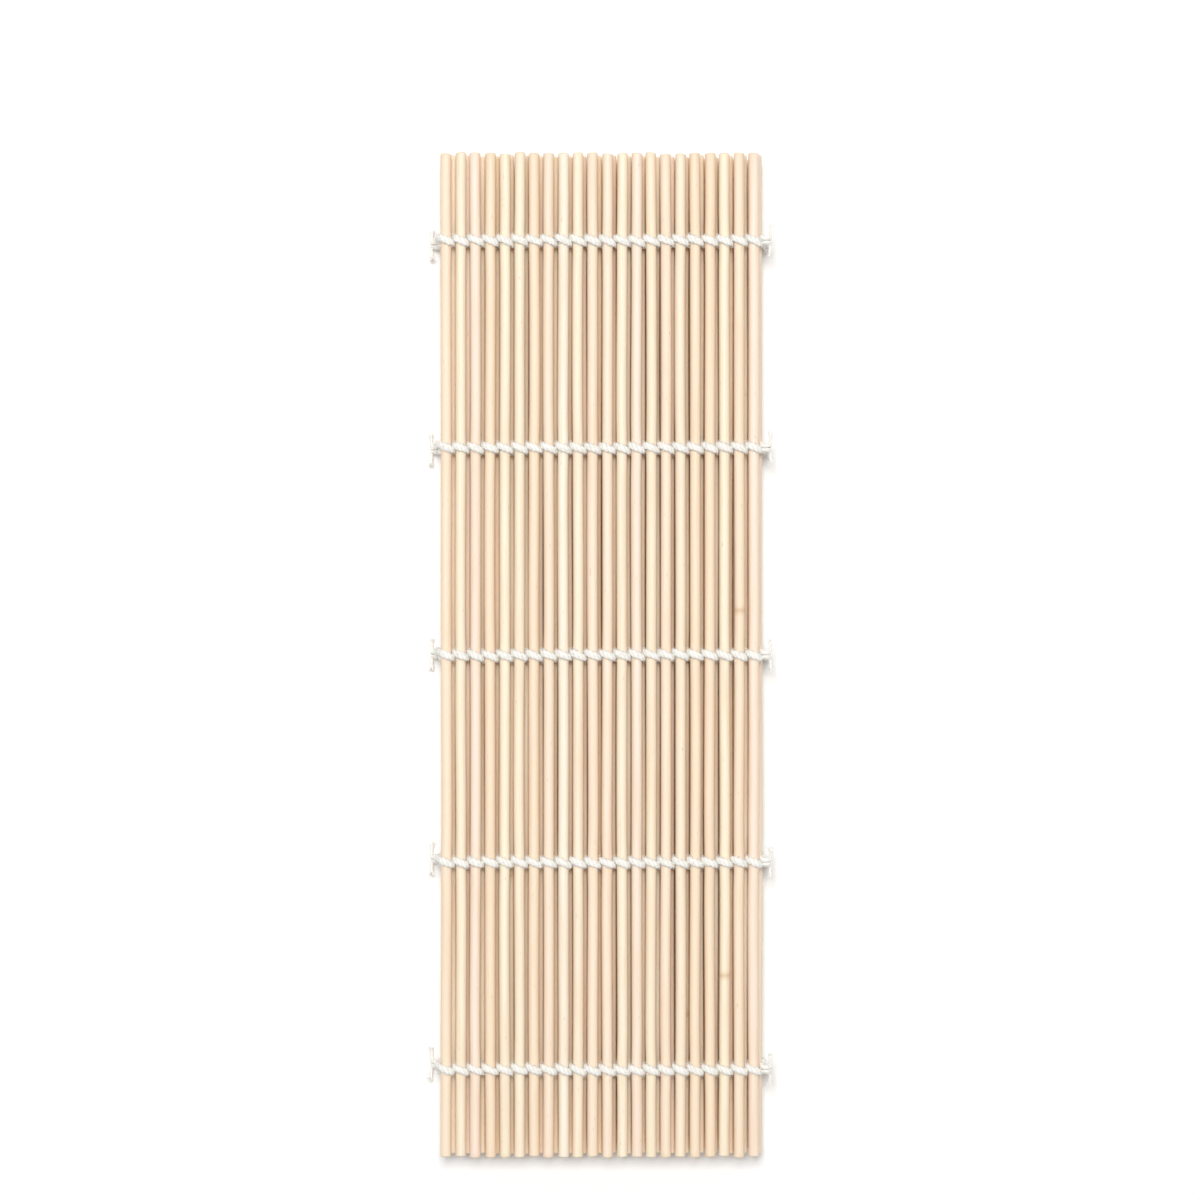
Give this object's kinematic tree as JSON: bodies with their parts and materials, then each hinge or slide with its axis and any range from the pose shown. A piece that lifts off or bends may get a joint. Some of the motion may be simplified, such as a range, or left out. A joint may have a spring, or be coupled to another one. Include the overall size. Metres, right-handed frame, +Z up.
{
  "type": "sushi rolling mat",
  "caption": "Mat of slim round bamboo sticks twined side by side with cotton string, stored folded in three like a zigzag, that opens out flat and rolls up.",
  "frame": {"origin": "centre of the rectangle that the folded mat covers, on the surface it lies on", "axes": "+Y along the sticks, +X across them towards the top panel's free edge, +Z up through the stack"},
  "size_m": [0.0818, 0.24, 0.0146],
  "materials": {
    "bamboo": "satin",
    "cotton_string": "matte"
  },
  "bodies": {
    "bottom_panel": {"bottom_sticks": "bamboo", "bottom_strings": "cotton_string", "right_fold_loops": "cotton_string", "bottom_edge_knots": "cotton_string"},
    "middle_panel": {"middle_sticks": "bamboo", "middle_strings": "cotton_string", "left_fold_loops": "cotton_string"},
    "top_01": {"top_stick_01": "bamboo", "top_ties_01": "cotton_string"},
    "top_02": {"top_stick_02": "bamboo", "top_ties_02": "cotton_string"},
    "top_03": {"top_stick_03": "bamboo", "top_ties_03": "cotton_string"},
    "top_04": {"top_stick_04": "bamboo", "top_ties_04": "cotton_string"},
    "top_05": {"top_stick_05": "bamboo", "top_ties_05": "cotton_string"},
    "top_06": {"top_stick_06": "bamboo", "top_ties_06": "cotton_string"},
    "top_07": {"top_stick_07": "bamboo", "top_ties_07": "cotton_string"},
    "top_08": {"top_stick_08": "bamboo", "top_ties_08": "cotton_string"},
    "top_09": {"top_stick_09": "bamboo", "top_ties_09": "cotton_string"},
    "top_10": {"top_stick_10": "bamboo", "top_ties_10": "cotton_string"},
    "top_11": {"top_stick_11": "bamboo", "top_ties_11": "cotton_string"},
    "top_12": {"top_stick_12": "bamboo", "top_ties_12": "cotton_string"},
    "top_13": {"top_stick_13": "bamboo", "top_ties_13": "cotton_string"},
    "top_14": {"top_stick_14": "bamboo", "top_ties_14": "cotton_string"},
    "top_15": {"top_stick_15": "bamboo", "top_ties_15": "cotton_string"},
    "top_16": {"top_stick_16": "bamboo", "top_ties_16": "cotton_string"},
    "top_17": {"top_stick_17": "bamboo", "top_ties_17": "cotton_string"},
    "top_18": {"top_stick_18": "bamboo", "top_ties_18": "cotton_string"},
    "top_19": {"top_stick_19": "bamboo", "top_ties_19": "cotton_string"},
    "top_20": {"top_stick_20": "bamboo", "top_ties_20": "cotton_string"},
    "top_21": {"top_stick_21": "bamboo", "top_ties_21": "cotton_string"},
    "top_22": {"top_stick_22": "bamboo", "top_ties_22": "cotton_string", "top_edge_knots": "cotton_string"}
  },
  "joints": [
    {"name": "unfold", "type": "hinge", "parent": "bottom_panel", "child": "middle_panel", "pos_m": [0.03895, 0, 0.00476], "axis": [0, 1, 0], "range_deg": [0, 179.9], "deforming": ["right_fold_loops"]},
    {"name": "unfold_top", "type": "hinge", "parent": "middle_panel", "child": "top_01", "pos_m": [-0.03805, 0, 0.00974], "axis": [0, 1, 0], "range_deg": [-179.9, 0], "deforming": ["left_fold_loops"]},
    {"name": "roll_02", "type": "hinge", "parent": "top_01", "child": "top_02", "pos_m": [-0.035, 0, 0.01223], "axis": [0, -1, 0], "range_deg": [0, 10]},
    {"name": "roll_03", "type": "hinge", "parent": "top_02", "child": "top_03", "pos_m": [-0.0315, 0, 0.01223], "axis": [0, -1, 0], "range_deg": [0, 10]},
    {"name": "roll_04", "type": "hinge", "parent": "top_03", "child": "top_04", "pos_m": [-0.028, 0, 0.01223], "axis": [0, -1, 0], "range_deg": [0, 10]},
    {"name": "roll_05", "type": "hinge", "parent": "top_04", "child": "top_05", "pos_m": [-0.0245, 0, 0.01223], "axis": [0, -1, 0], "range_deg": [0, 10]},
    {"name": "roll_06", "type": "hinge", "parent": "top_05", "child": "top_06", "pos_m": [-0.021, 0, 0.01223], "axis": [0, -1, 0], "range_deg": [0, 10]},
    {"name": "roll_07", "type": "hinge", "parent": "top_06", "child": "top_07", "pos_m": [-0.0175, 0, 0.01223], "axis": [0, -1, 0], "range_deg": [0, 10]},
    {"name": "roll_08", "type": "hinge", "parent": "top_07", "child": "top_08", "pos_m": [-0.014, 0, 0.01223], "axis": [0, -1, 0], "range_deg": [0, 10]},
    {"name": "roll_09", "type": "hinge", "parent": "top_08", "child": "top_09", "pos_m": [-0.0105, 0, 0.01223], "axis": [0, -1, 0], "range_deg": [0, 10]},
    {"name": "roll_10", "type": "hinge", "parent": "top_09", "child": "top_10", "pos_m": [-0.007, 0, 0.01223], "axis": [0, -1, 0], "range_deg": [0, 10]},
    {"name": "roll_11", "type": "hinge", "parent": "top_10", "child": "top_11", "pos_m": [-0.0035, 0, 0.01223], "axis": [0, -1, 0], "range_deg": [0, 10]},
    {"name": "roll_12", "type": "hinge", "parent": "top_11", "child": "top_12", "pos_m": [0, 0, 0.01223], "axis": [0, -1, 0], "range_deg": [0, 10]},
    {"name": "roll_13", "type": "hinge", "parent": "top_12", "child": "top_13", "pos_m": [0.0035, 0, 0.01223], "axis": [0, -1, 0], "range_deg": [0, 10]},
    {"name": "roll_14", "type": "hinge", "parent": "top_13", "child": "top_14", "pos_m": [0.007, 0, 0.01223], "axis": [0, -1, 0], "range_deg": [0, 10]},
    {"name": "roll_15", "type": "hinge", "parent": "top_14", "child": "top_15", "pos_m": [0.0105, 0, 0.01223], "axis": [0, -1, 0], "range_deg": [0, 10]},
    {"name": "roll_16", "type": "hinge", "parent": "top_15", "child": "top_16", "pos_m": [0.014, 0, 0.01223], "axis": [0, -1, 0], "range_deg": [0, 10]},
    {"name": "roll_17", "type": "hinge", "parent": "top_16", "child": "top_17", "pos_m": [0.0175, 0, 0.01223], "axis": [0, -1, 0], "range_deg": [0, 10]},
    {"name": "roll_18", "type": "hinge", "parent": "top_17", "child": "top_18", "pos_m": [0.021, 0, 0.01223], "axis": [0, -1, 0], "range_deg": [0, 10]},
    {"name": "roll_19", "type": "hinge", "parent": "top_18", "child": "top_19", "pos_m": [0.0245, 0, 0.01223], "axis": [0, -1, 0], "range_deg": [0, 10]},
    {"name": "roll_20", "type": "hinge", "parent": "top_19", "child": "top_20", "pos_m": [0.028, 0, 0.01223], "axis": [0, -1, 0], "range_deg": [0, 10]},
    {"name": "roll_21", "type": "hinge", "parent": "top_20", "child": "top_21", "pos_m": [0.0315, 0, 0.01223], "axis": [0, -1, 0], "range_deg": [0, 10]},
    {"name": "roll_22", "type": "hinge", "parent": "top_21", "child": "top_22", "pos_m": [0.035, 0, 0.01223], "axis": [0, -1, 0], "range_deg": [0, 10]}
  ],
  "couplings": [
    {"joint": "unfold_top", "follows": "unfold", "ratio": -1},
    {"joint": "roll_03", "follows": "roll_02", "ratio": 1},
    {"joint": "roll_04", "follows": "roll_02", "ratio": 1},
    {"joint": "roll_05", "follows": "roll_02", "ratio": 1},
    {"joint": "roll_06", "follows": "roll_02", "ratio": 1},
    {"joint": "roll_07", "follows": "roll_02", "ratio": 1},
    {"joint": "roll_08", "follows": "roll_02", "ratio": 1},
    {"joint": "roll_09", "follows": "roll_02", "ratio": 1},
    {"joint": "roll_10", "follows": "roll_02", "ratio": 1},
    {"joint": "roll_11", "follows": "roll_02", "ratio": 1},
    {"joint": "roll_12", "follows": "roll_02", "ratio": 1},
    {"joint": "roll_13", "follows": "roll_02", "ratio": 1},
    {"joint": "roll_14", "follows": "roll_02", "ratio": 1},
    {"joint": "roll_15", "follows": "roll_02", "ratio": 1},
    {"joint": "roll_16", "follows": "roll_02", "ratio": 1},
    {"joint": "roll_17", "follows": "roll_02", "ratio": 1},
    {"joint": "roll_18", "follows": "roll_02", "ratio": 1},
    {"joint": "roll_19", "follows": "roll_02", "ratio": 1},
    {"joint": "roll_20", "follows": "roll_02", "ratio": 1},
    {"joint": "roll_21", "follows": "roll_02", "ratio": 1},
    {"joint": "roll_22", "follows": "roll_02", "ratio": 1}
  ]
}
